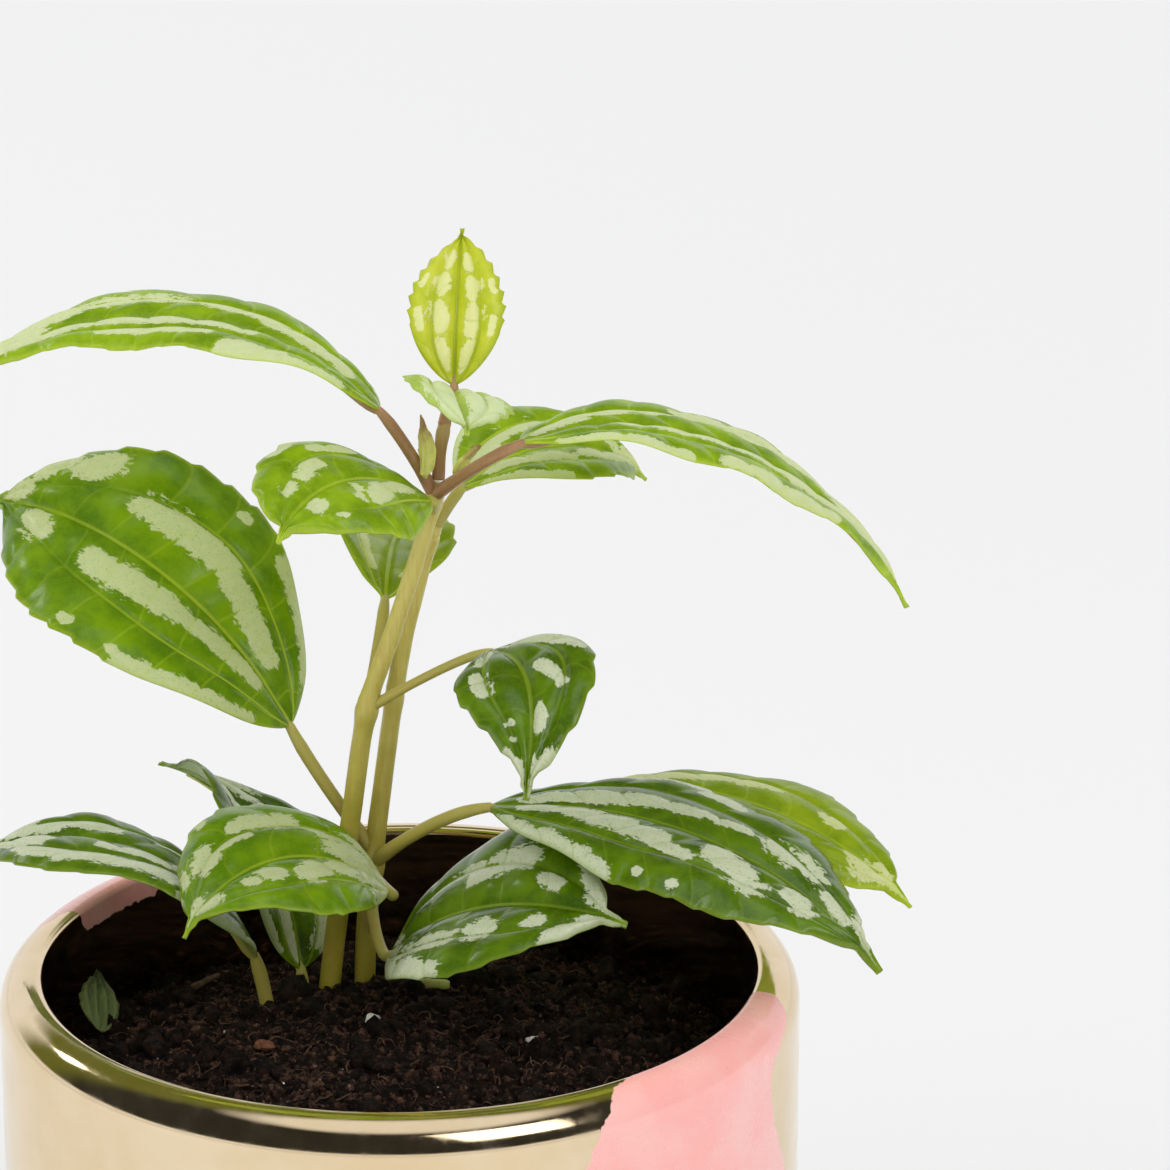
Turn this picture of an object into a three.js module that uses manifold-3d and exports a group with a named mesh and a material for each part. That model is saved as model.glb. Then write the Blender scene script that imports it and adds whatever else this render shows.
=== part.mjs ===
// A potted aluminum plant, Pilea cadierei: two stems with their leaves, rooted in soil in a round
// glazed pot. Lengths are in millimetres and angles in degrees. +Z is up, and the origin is the
// centre of the pot's flat underside. A heading of 0 is +X and 90 is +Y.
import * as THREE from 'three';
import { mergeVertices } from 'three/addons/utils/BufferGeometryUtils.js';
import Module from 'manifold-3d';

const wasm = await Module();
wasm.setup();

// Pot
const POT_RADIUS = 60;
const POT_HEIGHT = 110;
const POT_WALL = 6.6;
const POT_FLOOR = 7;
const POT_FOOT_ROUND = 4;
const POT_LIP_ROUND = 5.4;
const POT_INNER_LIP_ROUND = 1.2;
const POT_INNER_FILLET = 8;
const POT_SIDES = 48;

// Soil: a low mound, highest round the stems
const SOIL_TOP = 100;
const SOIL_FALL_AT_WALL = 9;
const SOIL_TILT = 0.05;
const SOIL_SIDES = 36;
const SOIL_RINGS = [6, 14, 23, 32, 41, 48];

// Room left between two pieces that touch
const GAP = 0.3;

// Stems and what grows from them
const STEM_RADIUS = 1.6;
const STEM_BOTTOM = 78;
const SHOOT_RADIUS = 1;
const ROOT_RADIUS = 0.7;
const BLADE_THICKNESS = 0.7;

// The middle lines of the two stems, from below the soil to the top node
const STEMS = {
  stem_a: [[-13.5, 15.5, STEM_BOTTOM], [-11, 16, 103], [-8, 15, 125.3], [-5, 13, 145.3],
    [-1.5, 12, 156.3], [3, 12, 170.3], [6, 12, 181.3]],
  stem_b: [[-6, 17.5, STEM_BOTTOM], [-6, 17, 103], [-4.5, 18, 119.3], [-1.5, 18.5, 142.3],
    [0.5, 18.3, 154.3], [4, 17, 168.8], [5.2, 16.5, 173.3]],
};

// Each leaf leaves its stem at the height `node`, or comes out of the soil at `root`. Its blade
// starts at `base`, sets off along `heading` at `pitch` above level, bends down by `bend` and
// swings by `turn` on the way to its tip. `roll` lowers its right-hand half, `twist` adds to that
// towards the tip, `fold` lifts both halves into a V, and `curl` bends the edges back down.
// Where they are given, `belly` and `taper` reshape the blade's outline.
const LEAVES = [
  { name: 'leaf_top_upright', stem: 'shoot', node: 193.3, base: [8.5, 12.5, 196.3], stalk: 0.8,
    length: 25, width: 14, heading: 86, pitch: 70, bend: 34, turn: 0, roll: 2, twist: 0,
    fold: 0.3, curl: 0.15 },
  { name: 'leaf_top_folded', stem: 'shoot', node: 190.3, base: [8, 10, 195.8], stalk: 0.8,
    length: 17, width: 17, heading: 280, pitch: 24, bend: 58, turn: 0, roll: -20, twist: 4,
    fold: 0.3, curl: 0.2 },
  { name: 'leaf_upper_left', stem: 'stem_a', node: 179.3, base: [-2.5, 11, 192.8], stalk: 0.9,
    length: 70, width: 31, heading: 174, pitch: 34, bend: 64, turn: 62, roll: 8, twist: -14,
    fold: 0.25, curl: 0.25 },
  { name: 'leaf_upper_right', stem: 'stem_a', node: 179.3, base: [18.5, 3, 190.3], stalk: 0.9,
    length: 72, width: 29, heading: 10, pitch: 8, bend: 68, turn: -52, roll: -6, twist: 14,
    fold: 0.25, curl: 0.25 },
  { name: 'leaf_upper_right_back', stem: 'stem_b', node: 171.3, base: [9.5, 19, 178.3], stalk: 0.9,
    length: 38, width: 25, heading: 38, pitch: 26, bend: 70, turn: -8, roll: 0, twist: 26,
    fold: 0.3, curl: 0.2 },
  { name: 'leaf_upper_front', stem: 'stem_a', node: 177.3, base: [5, 7, 180.3], stalk: 0.9,
    length: 37, width: 26, heading: 232, pitch: 38, bend: 68, turn: 40, roll: -24, twist: 8,
    fold: 0.15, curl: 0.3 },
  { name: 'leaf_upper_back', stem: 'stem_a', node: 145.3, base: [-2.5, 23, 159.3], stalk: 0.9,
    length: 35, width: 19, heading: 88, pitch: 12, bend: 26, turn: -4, roll: 18, twist: -20,
    fold: 0.6, curl: 0.05 },
  { name: 'leaf_middle_right', stem: 'stem_a', node: 145.3, base: [14, 1, 158.8], stalk: 0.7,
    length: 34, width: 21, heading: -82, pitch: 18, bend: 86, turn: -50, roll: 10, twist: 16,
    fold: 0.25, curl: 0.2, belly: 0.76, taper: 0.9 },
  { name: 'leaf_large_left', stem: 'stem_b', node: 120.3, base: [-17, 19, 140.3], stalk: 1,
    length: 70, width: 40, heading: 148, pitch: 64, bend: 82, turn: -38, roll: 4, twist: -54,
    fold: 0.25, curl: 0.2 },
  { name: 'leaf_low_right_front', stem: 'stem_b', node: 118.3, base: [13.5, 5, 132.6], stalk: 1,
    length: 68, width: 35, heading: -26, pitch: 8, bend: 42, turn: -40, roll: 2, twist: 2,
    fold: 0.2, curl: 0.3 },
  { name: 'leaf_low_right_back', root: [5, 24, 92], base: [26.8, 31, 125.4], stalk: 1,
    length: 61, width: 35, heading: -32, pitch: 17, bend: 47, turn: -21, roll: -8, twist: 10,
    fold: 0.15, curl: 0.3 },
  { name: 'leaf_low_front_right', stem: 'stem_b', node: 113.3, base: [-1.5, 6, 108.3], stalk: 0.9,
    length: 47, width: 33, heading: -34, pitch: 48, bend: 58, turn: 18, roll: 22, twist: 4,
    fold: 0.3, curl: 0.2 },
  { name: 'leaf_low_front_left', stem: 'stem_b', node: 116.3, base: [-2, 6, 118.8], stalk: 0.9,
    length: 41, width: 31, heading: 216, pitch: 48, bend: 92, turn: 34, roll: -24, twist: 22,
    fold: 0.25, curl: 0.25 },
  { name: 'leaf_soil_left', root: [-20, 11, 92], base: [-22.5, 10, 106.3], stalk: 1.1,
    length: 55, width: 31, heading: 174, pitch: 72, bend: 112, turn: -48, roll: 26, twist: -32,
    fold: 0.2, curl: 0.25 },
  { name: 'leaf_soil_back_left', root: [-15, 18, 92], base: [-16, 19, 100.3], stalk: 1,
    length: 45, width: 24, heading: 130, pitch: 72, bend: 72, turn: 42, roll: 4, twist: 40,
    fold: 0.35, curl: 0.1 },
];

const SHOOT = [[6, 12, 182], [6.5, 12.2, 187.3], [8, 12.3, 195.3]];
const STEM_STEPS = 14;
const PETIOLE_STEPS = 5;
const PETIOLE_SWING = 0.3;
const PETIOLE_INTO_BLADE = 2;
const BLADE_STEPS = 10;
const BLADE_COLUMNS = [-1, -0.5, 0, 0.5, 1];

// The two papery scales that sheathe the shoot at the top node
const STIPULES = [
  { name: 'stipule_left', base: [4.2, 9, 183.1], length: 9, width: 3.4, heading: 220, pitch: 92,
    bend: 10, turn: 0, roll: 0, twist: 0, fold: 0.3, curl: 0 },
  { name: 'stipule_right', base: [8.4, 10.8, 182.3], length: 7, width: 3, heading: -20, pitch: 60,
    bend: 10, turn: 0, roll: 0, twist: 0, fold: 0.3, curl: 0 },
];

// Roots spread from the buried end of each stem: heading and pitch of each, and its length
const ROOT_SPREAD = [[20, -50, 30], [95, -35, 26], [165, -55, 30], [240, -30, 28], [310, -60, 32]];
const ROOT_SWINGS = { stem_a: 42, stem_b: 228 };
const ROOT_CROWN_RADIUS = 2.2;
const ROOT_DROOP = 30;

// Bits lying on the soil: [x, y] of the middle of each, and its radius or its two ends
const PERLITE = { at: [-4, -5], radius: 1.2 };
const BARK = { at: [-20, -11], radius: 1.6 };
const TWIG = { from: [-33, 22], to: [-28, 30], radius: 0.6 };
const PALE_STICK = { from: [19, -9], to: [21, -7.5], radius: 0.4 };
const LEAF_SCRAP = { name: 'leaf_scrap', base: [-45.5, 5, 96], length: 12, width: 6.5, heading: 100,
  pitch: 32, bend: 10, turn: 0, roll: 20, twist: 0, fold: 0.2, curl: 0.2 };
const OLD_STALK = { from: [1, 10], to: [7, 11], radius: 0.9 };

const COLOURS = {
  pot: { color: 0xc9a659, roughness: 0.12, metalness: 0.9 },
  soil: { color: 0x1a1310, roughness: 0.95, metalness: 0 },
  stem: { color: 0x91802f, roughness: 0.45, metalness: 0 },
  root: { color: 0x8a6f4d, roughness: 0.8, metalness: 0 },
  leaf: { color: 0x5f8a2a, roughness: 0.35, metalness: 0 },
  youngLeaf: { color: 0xbcc84e, roughness: 0.4, metalness: 0 },
  debris: { color: 0x9a7b55, roughness: 0.9, metalness: 0 },
};

const group = new THREE.Group();

function addPiece(name, geometry, colour) {
  const mesh = new THREE.Mesh(geometry, new THREE.MeshStandardMaterial(COLOURS[colour]));
  mesh.name = name;
  group.add(mesh);
}

// A closed geometry as a manifold solid: shared corners merged, triangles without area dropped.
function toSolid(geometry) {
  const plain = geometry.clone();
  plain.deleteAttribute('normal');
  plain.deleteAttribute('uv');
  const merged = mergeVertices(plain, 1e-4);
  const index = merged.index.array;
  const kept = [];
  for (let i = 0; i < index.length; i += 3) {
    const [a, b, c] = [index[i], index[i + 1], index[i + 2]];
    if (a !== b && b !== c && c !== a) kept.push(a, b, c);
  }
  return new wasm.Manifold(new wasm.Mesh({
    numProp: 3,
    vertProperties: new Float32Array(merged.attributes.position.array),
    triVerts: new Uint32Array(kept),
  }));
}

function toGeometry(solid) {
  const mesh = solid.getMesh();
  const geometry = new THREE.BufferGeometry();
  geometry.setAttribute('position', new THREE.BufferAttribute(mesh.vertProperties, 3));
  geometry.setIndex(new THREE.BufferAttribute(mesh.triVerts, 1));
  geometry.computeVertexNormals();
  return geometry;
}

function curveThrough(points) {
  return new THREE.CatmullRomCurve3(points.map((p) => new THREE.Vector3(...p)));
}

function tube(curve, radius, steps, sides = 8) {
  const section = new THREE.Shape();
  for (let i = 0; i < sides; i += 1) {
    const angle = (2 * Math.PI * i) / sides;
    const x = radius * Math.cos(angle);
    const y = radius * Math.sin(angle);
    if (i === 0) section.moveTo(x, y);
    else section.lineTo(x, y);
  }
  return new THREE.ExtrudeGeometry(section, { extrudePath: curve, steps, bevelEnabled: false });
}

// Points of a rounded corner, for a lathe profile
function corner(x, z, radius, fromAngle, toAngle, steps) {
  const points = [];
  for (let i = 0; i <= steps; i += 1) {
    const angle = THREE.MathUtils.degToRad(fromAngle + ((toAngle - fromAngle) * i) / steps);
    points.push([x + radius * Math.cos(angle), z + radius * Math.sin(angle)]);
  }
  return points;
}

// A profile of [radius, height] pairs turned round the Z axis
function turned(profile, sides) {
  const points = profile.map(([x, z]) => new THREE.Vector2(x, z));
  return new THREE.LatheGeometry(points, sides).rotateX(Math.PI / 2);
}

function potGeometry() {
  const inner = POT_RADIUS - POT_WALL;
  const footCentre = POT_RADIUS - POT_FOOT_ROUND;
  const lipCentre = POT_RADIUS - POT_LIP_ROUND;
  const filletX = inner - POT_INNER_FILLET;
  const filletZ = POT_FLOOR + POT_INNER_FILLET;
  const profile = [
    [0, 0],
    ...corner(footCentre, POT_FOOT_ROUND, POT_FOOT_ROUND, -90, 0, 3),
    ...corner(lipCentre, POT_HEIGHT - POT_LIP_ROUND, POT_LIP_ROUND, 0, 90, 5),
    ...corner(inner + POT_INNER_LIP_ROUND, POT_HEIGHT - POT_INNER_LIP_ROUND, POT_INNER_LIP_ROUND,
      90, 180, 1),
    ...corner(filletX, filletZ, POT_INNER_FILLET, 0, -90, 3),
    [0, POT_FLOOR],
  ];
  return turned(profile, POT_SIDES);
}

// Height of the soil's surface: a mound that falls towards the wall and leans to the front
function soilHeight(x, y) {
  const reach = Math.min(Math.hypot(x, y) / (POT_RADIUS - POT_WALL), 1);
  return SOIL_TOP + 1 - SOIL_FALL_AT_WALL * reach ** 2 - SOIL_TILT * y;
}

function soilGeometry() {
  const edge = POT_RADIUS - POT_WALL - GAP;
  const fillet = POT_INNER_FILLET - GAP;
  const filletZ = POT_FLOOR + POT_INNER_FILLET;
  const profile = [
    [0, POT_FLOOR + GAP],
    ...corner(edge - fillet, filletZ, fillet, -90, 0, 3),
    [edge, SOIL_TOP],
    ...[...SOIL_RINGS].reverse().map((radius) => [radius, SOIL_TOP]),
    [0, SOIL_TOP],
  ];
  const geometry = turned(profile, SOIL_SIDES);
  const position = geometry.attributes.position;
  for (let i = 0; i < position.count; i += 1) {
    if (position.getZ(i) > SOIL_TOP - 1) {
      position.setZ(i, soilHeight(position.getX(i), position.getY(i)));
    }
  }
  return geometry;
}

// Half the width of a blade, as a share of its widest, at the share `u` of its length. A lower
// `belly` brings the widest part nearer the base, and a higher `taper` narrows both ends.
function halfWidth(u, belly = 0.92, taper = 0.72) {
  const body = Math.sin(Math.PI * Math.min(u / 0.93, 1) ** belly) ** taper;
  const dripTip = u > 0.5 ? 0.1 * Math.min((1 - u) / 0.12, 1) ** 0.8 : 0;
  return Math.max(body, dripTip);
}

function direction(heading, pitch) {
  const h = THREE.MathUtils.degToRad(heading);
  const p = THREE.MathUtils.degToRad(pitch);
  return new THREE.Vector3(Math.cos(p) * Math.cos(h), Math.cos(p) * Math.sin(h), Math.sin(p));
}

// Points along the midrib, which bends evenly from its base to its tip
function midrib(leaf, steps) {
  const points = [new THREE.Vector3(...leaf.base)];
  for (let i = 0; i < steps; i += 1) {
    const s = (i + 0.5) / steps;
    const step = direction(leaf.heading + leaf.turn * (s - 0.5), leaf.pitch - leaf.bend * s);
    points.push(points[i].clone().addScaledVector(step, leaf.length / steps));
  }
  return points;
}

// The blade as a thin closed sheet: an upper and a lower skin joined round the edge
function bladeGeometry(leaf) {
  const line = midrib(leaf, BLADE_STEPS);
  const chord = line[BLADE_STEPS].clone().sub(line[0]);
  const level = new THREE.Vector3(chord.y, -chord.x, 0).normalize();
  const columns = BLADE_COLUMNS.length;
  const vertices = [];
  for (const side of [1, -1]) {
    line.forEach((point, i) => {
      const u = i / BLADE_STEPS;
      const before = line[Math.max(i - 1, 0)];
      const after = line[Math.min(i + 1, BLADE_STEPS)];
      const along = after.clone().sub(before).normalize();
      const roll = THREE.MathUtils.degToRad(leaf.roll + leaf.twist * u);
      const across = level.clone().addScaledVector(along, -level.dot(along)).normalize()
        .applyAxisAngle(along, roll);
      const normal = across.clone().cross(along);
      const half = Math.max((leaf.width / 2) * halfWidth(u, leaf.belly, leaf.taper), 0.6);
      for (const v of BLADE_COLUMNS) {
        const lift = half * (leaf.fold * Math.abs(v) - leaf.curl * v * v);
        vertices.push(point.clone()
          .addScaledVector(across, half * v)
          .addScaledVector(normal, lift + (side * BLADE_THICKNESS) / 2));
      }
    });
  }
  const lower = (BLADE_STEPS + 1) * columns;
  const at = (layer, i, j) => layer * lower + i * columns + j;
  const faces = [];
  const quad = (a, b, c, d) => faces.push(a, b, c, a, c, d);
  for (let i = 0; i < BLADE_STEPS; i += 1) {
    for (let j = 0; j < columns - 1; j += 1) {
      quad(at(0, i, j), at(0, i, j + 1), at(0, i + 1, j + 1), at(0, i + 1, j));
      quad(at(1, i, j), at(1, i + 1, j), at(1, i + 1, j + 1), at(1, i, j + 1));
    }
    quad(at(0, i, 0), at(0, i + 1, 0), at(1, i + 1, 0), at(1, i, 0));
    quad(at(0, i, columns - 1), at(1, i, columns - 1), at(1, i + 1, columns - 1),
      at(0, i + 1, columns - 1));
  }
  for (let j = 0; j < columns - 1; j += 1) {
    quad(at(0, 0, j), at(1, 0, j), at(1, 0, j + 1), at(0, 0, j + 1));
    quad(at(0, BLADE_STEPS, j), at(0, BLADE_STEPS, j + 1), at(1, BLADE_STEPS, j + 1),
      at(1, BLADE_STEPS, j));
  }
  const geometry = new THREE.BufferGeometry().setFromPoints(vertices);
  geometry.setIndex(faces);
  return geometry;
}

// The point of a curve at a given height
function pointAtHeight(curve, height) {
  let nearest = curve.getPoint(0);
  for (let i = 1; i <= 400; i += 1) {
    const point = curve.getPoint(i / 400);
    if (Math.abs(point.z - height) < Math.abs(nearest.z - height)) nearest = point;
  }
  return nearest;
}

const stemCurves = {};
for (const [name, points] of Object.entries(STEMS)) stemCurves[name] = curveThrough(points);
stemCurves.shoot = curveThrough(SHOOT);

// The petiole swings round into the blade's own direction where it meets the blade.
function petioleCurve(leaf) {
  const start = leaf.root
    ? new THREE.Vector3(...leaf.root)
    : pointAtHeight(stemCurves[leaf.stem], leaf.node);
  const end = new THREE.Vector3(...leaf.base);
  const reach = start.distanceTo(end) * PETIOLE_SWING;
  const bladeWay = direction(leaf.heading - leaf.turn / 2, leaf.pitch);
  const middle = end.clone().addScaledVector(bladeWay, -reach);
  const past = end.clone().addScaledVector(bladeWay, PETIOLE_INTO_BLADE);
  return new THREE.QuadraticBezierCurve3(start, middle, past);
}

// Everything that passes through or into another piece leaves room round itself.
const stemRoom = {};
for (const [name, curve] of Object.entries(stemCurves)) {
  const radius = name === 'shoot' ? SHOOT_RADIUS : STEM_RADIUS;
  stemRoom[name] = toSolid(tube(curve, radius + GAP, STEM_STEPS));
}

function clearOfStems(solid) {
  return Object.values(stemRoom).reduce((rest, room) => rest.subtract(room), solid);
}

function leafSolid(leaf) {
  const petiole = toSolid(tube(petioleCurve(leaf), leaf.stalk, PETIOLE_STEPS, 6));
  return clearOfStems(toSolid(bladeGeometry(leaf)).add(petiole));
}

// A crown with roots spreading down from it, under the buried end of a stem. The room round the
// crown is wider, so that it opens into the room round the stem.
function rootSolid(stem, room) {
  const crown = new THREE.Vector3(...STEMS[stem][0]);
  crown.z -= ROOT_CROWN_RADIUS + GAP;
  const ball = new THREE.SphereGeometry(ROOT_CROWN_RADIUS + 3 * room, 8, 6);
  let solid = toSolid(ball.translate(crown.x, crown.y, crown.z));
  for (const [heading, pitch, length] of ROOT_SPREAD) {
    const swing = heading + ROOT_SWINGS[stem];
    const middle = crown.clone().addScaledVector(direction(swing, pitch), length / 2);
    const end = middle.clone().addScaledVector(direction(swing, pitch - ROOT_DROOP), length / 2);
    const line = new THREE.QuadraticBezierCurve3(crown, middle, end);
    solid = solid.add(toSolid(tube(line, ROOT_RADIUS + room, 3, 5)));
  }
  return solid;
}

function onSoil([x, y], above) {
  return new THREE.Vector3(x, y, soilHeight(x, y) + above);
}

function pebble({ at, radius }) {
  const place = onSoil(at, radius + GAP);
  return new THREE.IcosahedronGeometry(radius, 0).translate(place.x, place.y, place.z);
}

function stick({ from, to, radius }) {
  const above = radius + GAP;
  const line = new THREE.LineCurve3(onSoil(from, above), onSoil(to, above));
  return tube(line, radius, 1, 6);
}

addPiece('pot', potGeometry(), 'pot');

let soil = toSolid(soilGeometry());
for (const room of [stemRoom.stem_a, stemRoom.stem_b]) soil = soil.subtract(room);
for (const leaf of LEAVES.filter((each) => each.root)) {
  soil = soil.subtract(toSolid(tube(petioleCurve(leaf), leaf.stalk + GAP, PETIOLE_STEPS)));
}
for (const stem of Object.keys(STEMS)) soil = soil.subtract(rootSolid(stem, GAP));
addPiece('soil', toGeometry(soil), 'soil');

for (const name of Object.keys(STEMS)) {
  addPiece(name, tube(stemCurves[name], STEM_RADIUS, STEM_STEPS), 'stem');
  addPiece(name.replace('stem', 'roots'), toGeometry(rootSolid(name, 0)), 'root');
}
addPiece('shoot', tube(stemCurves.shoot, SHOOT_RADIUS, PETIOLE_STEPS), 'stem');

for (const leaf of LEAVES) {
  addPiece(leaf.name, toGeometry(leafSolid(leaf)), leaf.stem === 'shoot' ? 'youngLeaf' : 'leaf');
}
for (const scale of STIPULES) {
  addPiece(scale.name, toGeometry(clearOfStems(toSolid(bladeGeometry(scale)))), 'youngLeaf');
}

addPiece('perlite_chunk', pebble(PERLITE), 'debris');
addPiece('bark_chip', pebble(BARK), 'debris');
addPiece('twig', stick(TWIG), 'debris');
addPiece('pale_stick', stick(PALE_STICK), 'debris');
addPiece('old_stalk', stick(OLD_STALK), 'stem');
addPiece(LEAF_SCRAP.name, bladeGeometry(LEAF_SCRAP), 'leaf');

export default group;
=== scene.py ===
"""A potted aluminum plant, Pilea cadierei: two stems rooted in dark soil in a round glazed pot.

Lengths are in millimetres and angles in degrees; make_piece turns them into Blender's metres.
"""
import math

import bmesh
import bpy
import numpy as np
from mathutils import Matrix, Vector, noise


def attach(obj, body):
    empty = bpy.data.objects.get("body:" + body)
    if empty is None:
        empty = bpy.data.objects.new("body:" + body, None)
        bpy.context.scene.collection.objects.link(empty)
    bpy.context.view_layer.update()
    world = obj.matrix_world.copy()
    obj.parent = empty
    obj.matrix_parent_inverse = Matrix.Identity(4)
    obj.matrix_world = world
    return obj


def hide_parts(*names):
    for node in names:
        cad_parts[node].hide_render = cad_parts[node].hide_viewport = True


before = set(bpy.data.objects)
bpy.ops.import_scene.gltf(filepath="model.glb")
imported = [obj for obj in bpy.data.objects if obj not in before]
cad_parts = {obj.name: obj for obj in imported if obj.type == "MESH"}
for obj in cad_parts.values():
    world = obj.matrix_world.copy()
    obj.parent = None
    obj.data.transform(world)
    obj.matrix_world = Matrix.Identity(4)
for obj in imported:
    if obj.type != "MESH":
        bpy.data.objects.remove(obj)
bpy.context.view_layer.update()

MM = 0.001
rng = np.random.default_rng(7)

# ---------------- sizes

# The pot, the soil, the stems' lines and the leaves are as in the CAD model
POT_RADIUS = 60
POT_HEIGHT = 110
POT_WALL = 6.6
POT_FLOOR = 7
POT_FOOT_ROUND = 4
POT_LIP_ROUND = 5.4
POT_INNER_LIP_ROUND = 1.2
POT_INNER_FILLET = 8
SOIL_TOP = 100
SOIL_FALL_AT_WALL = 9
SOIL_TILT = 0.05
GAP = 0.3
PETIOLE_SWING = 0.3
BELLY = 0.92
TAPER = 0.72

# Blades are thinner than in the CAD model, and have veins, teeth and waves
BLADE_THICKNESS = 0.5
CROSS_VEIN_PITCH = 7.5
TOOTH_PITCH = 5.2
YOUNG_TOOTH_PITCH = 2.2
TOOTH_DEPTH = 0.7
BLADE_WAVE = 0.5
BLADE_WAVE_PITCH = 21
SCALE_TOOTH_DEPTH = 0.3
SCALE_WAVE = 0.15
NARROWEST_HALF_BLADE = 0.35

# A petiole is swollen over this many rings at its foot, and narrows over as many at the blade
JOINT_RINGS = 5

# How finely the pot and the soil are divided, and how far out the loose bits lie and how deep
POT_SIDES = 360
SOIL_RINGS = 125
SOIL_SIDES = 440
CRUMB_REACH = 52.0
CRUMB_SINK = 0.4
FIBRE_REACH = 50
FIBRE_STEPS = 8

STEMS = {
    "stem_a": [(-13.5, 15.5, 78), (-11, 16, 103), (-8, 15, 125.3), (-5, 13, 145.3),
               (-1.5, 12, 156.3), (3, 12, 170.3), (6, 12, 181.3)],
    "stem_b": [(-6, 17.5, 78), (-6, 17, 103), (-4.5, 18, 119.3), (-1.5, 18.5, 142.3),
               (0.5, 18.3, 154.3), (4, 17, 168.8), (5.2, 16.5, 173.3)],
    "shoot": [(6, 12, 182), (6.5, 12.2, 187.3), (8, 12.3, 195.3)],
}

# Each stem: its detailed piece, its radius at the foot and the top, and the height and swell of its
# nodes
STEM_SHAPES = {
    "stem_a": ("stem_front", 1.7, 1.15, [(145.3, 0.4), (178.3, 0.4), (117, 0.2)]),
    "stem_b": ("stem_rear", 1.7, 1.1, [(118.3, 0.4), (171.3, 0.3), (145.3, 0.2)]),
    "shoot": ("shoot_tip", 1.0, 0.7, [(189.3, 0.25)]),
}

# Each leaf: the stem and height its petiole leaves, or the point where it comes out of the soil;
# the blade's base and size; its heading and pitch there; how it bends and turns on the way to the
# tip; its roll and twist; how it folds into a V and curls back down; where its outline isn't usual,
# its belly, lower for a widest part nearer the base, and its taper, higher for narrower ends.
LEAVES = {
    "leaf_top_upright": dict(
        stem="shoot", node=193.3, base=(8.5, 12.5, 196.3), stalk=0.8, length=25, width=14, heading=86,
        pitch=70, bend=34, turn=0, roll=2, twist=0, fold=0.3, curl=0.15),
    "leaf_top_folded": dict(
        stem="shoot", node=190.3, base=(8, 10, 195.8), stalk=0.8, length=17, width=17, heading=280,
        pitch=24, bend=58, turn=0, roll=-20, twist=4, fold=0.3, curl=0.2),
    "leaf_upper_left": dict(
        stem="stem_a", node=179.3, base=(-2.5, 11, 192.8), stalk=0.9, length=70, width=31, heading=174,
        pitch=34, bend=64, turn=62, roll=8, twist=-14, fold=0.25, curl=0.25),
    "leaf_upper_right": dict(
        stem="stem_a", node=179.3, base=(18.5, 3, 190.3), stalk=0.9, length=72, width=29, heading=10,
        pitch=8, bend=68, turn=-52, roll=-6, twist=14, fold=0.25, curl=0.25),
    "leaf_upper_right_back": dict(
        stem="stem_b", node=171.3, base=(9.5, 19, 178.3), stalk=0.9, length=38, width=25, heading=38,
        pitch=26, bend=70, turn=-8, roll=0, twist=26, fold=0.3, curl=0.2),
    "leaf_upper_front": dict(
        stem="stem_a", node=177.3, base=(5, 7, 180.3), stalk=0.9, length=37, width=26, heading=232,
        pitch=38, bend=68, turn=40, roll=-24, twist=8, fold=0.15, curl=0.3),
    "leaf_upper_back": dict(
        stem="stem_a", node=145.3, base=(-2.5, 23, 159.3), stalk=0.9, length=35, width=19, heading=88,
        pitch=12, bend=26, turn=-4, roll=18, twist=-20, fold=0.6, curl=0.05),
    "leaf_middle_right": dict(
        stem="stem_a", node=145.3, base=(14, 1, 158.8), stalk=0.7, length=34, width=21, heading=-82,
        pitch=18, bend=86, turn=-50, roll=10, twist=16, fold=0.25, curl=0.2, belly=0.76, taper=0.9),
    "leaf_large_left": dict(
        stem="stem_b", node=120.3, base=(-17, 19, 140.3), stalk=1, length=70, width=40, heading=148,
        pitch=64, bend=82, turn=-38, roll=4, twist=-54, fold=0.25, curl=0.2),
    "leaf_low_right_front": dict(
        stem="stem_b", node=118.3, base=(13.5, 5, 132.6), stalk=1, length=68, width=35, heading=-26,
        pitch=8, bend=42, turn=-40, roll=2, twist=2, fold=0.2, curl=0.3),
    "leaf_low_right_back": dict(
        root=(5, 24, 92), base=(26.8, 31, 125.4), stalk=1, length=61, width=35, heading=-32, pitch=17,
        bend=47, turn=-21, roll=-8, twist=10, fold=0.15, curl=0.3),
    "leaf_low_front_right": dict(
        stem="stem_b", node=113.3, base=(-1.5, 6, 108.3), stalk=0.9, length=47, width=33, heading=-34,
        pitch=48, bend=58, turn=18, roll=22, twist=4, fold=0.3, curl=0.2),
    "leaf_low_front_left": dict(
        stem="stem_b", node=116.3, base=(-2, 6, 118.8), stalk=0.9, length=41, width=31, heading=216,
        pitch=48, bend=92, turn=34, roll=-24, twist=22, fold=0.25, curl=0.25),
    "leaf_soil_left": dict(
        root=(-20, 11, 92), base=(-22.5, 10, 106.3), stalk=1.1, length=55, width=31, heading=174,
        pitch=72, bend=112, turn=-48, roll=26, twist=-32, fold=0.2, curl=0.25),
    "leaf_soil_back_left": dict(
        root=(-15, 18, 92), base=(-16, 19, 100.3), stalk=1, length=45, width=24, heading=130, pitch=72,
        bend=72, turn=42, roll=4, twist=40, fold=0.35, curl=0.1),
}

# The papery scales that sheathe the shoot, and a scrap of dead leaf against the pot's wall
SCALES = {
    "stipule_left": dict(
        base=(4.2, 9, 183.1), length=9, width=3.4, heading=220, pitch=92, bend=10, turn=0, roll=0,
        twist=0, fold=0.3, curl=0),
    "stipule_right": dict(
        base=(8.4, 10.8, 182.3), length=7, width=3, heading=-20, pitch=60, bend=10, turn=0, roll=0,
        twist=0, fold=0.3, curl=0),
    "leaf_scrap": dict(
        base=(-45.5, 5, 96), length=12, width=6.5, heading=100, pitch=32, bend=10, turn=0, roll=20,
        twist=0, fold=0.2, curl=0.2),
}

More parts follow.
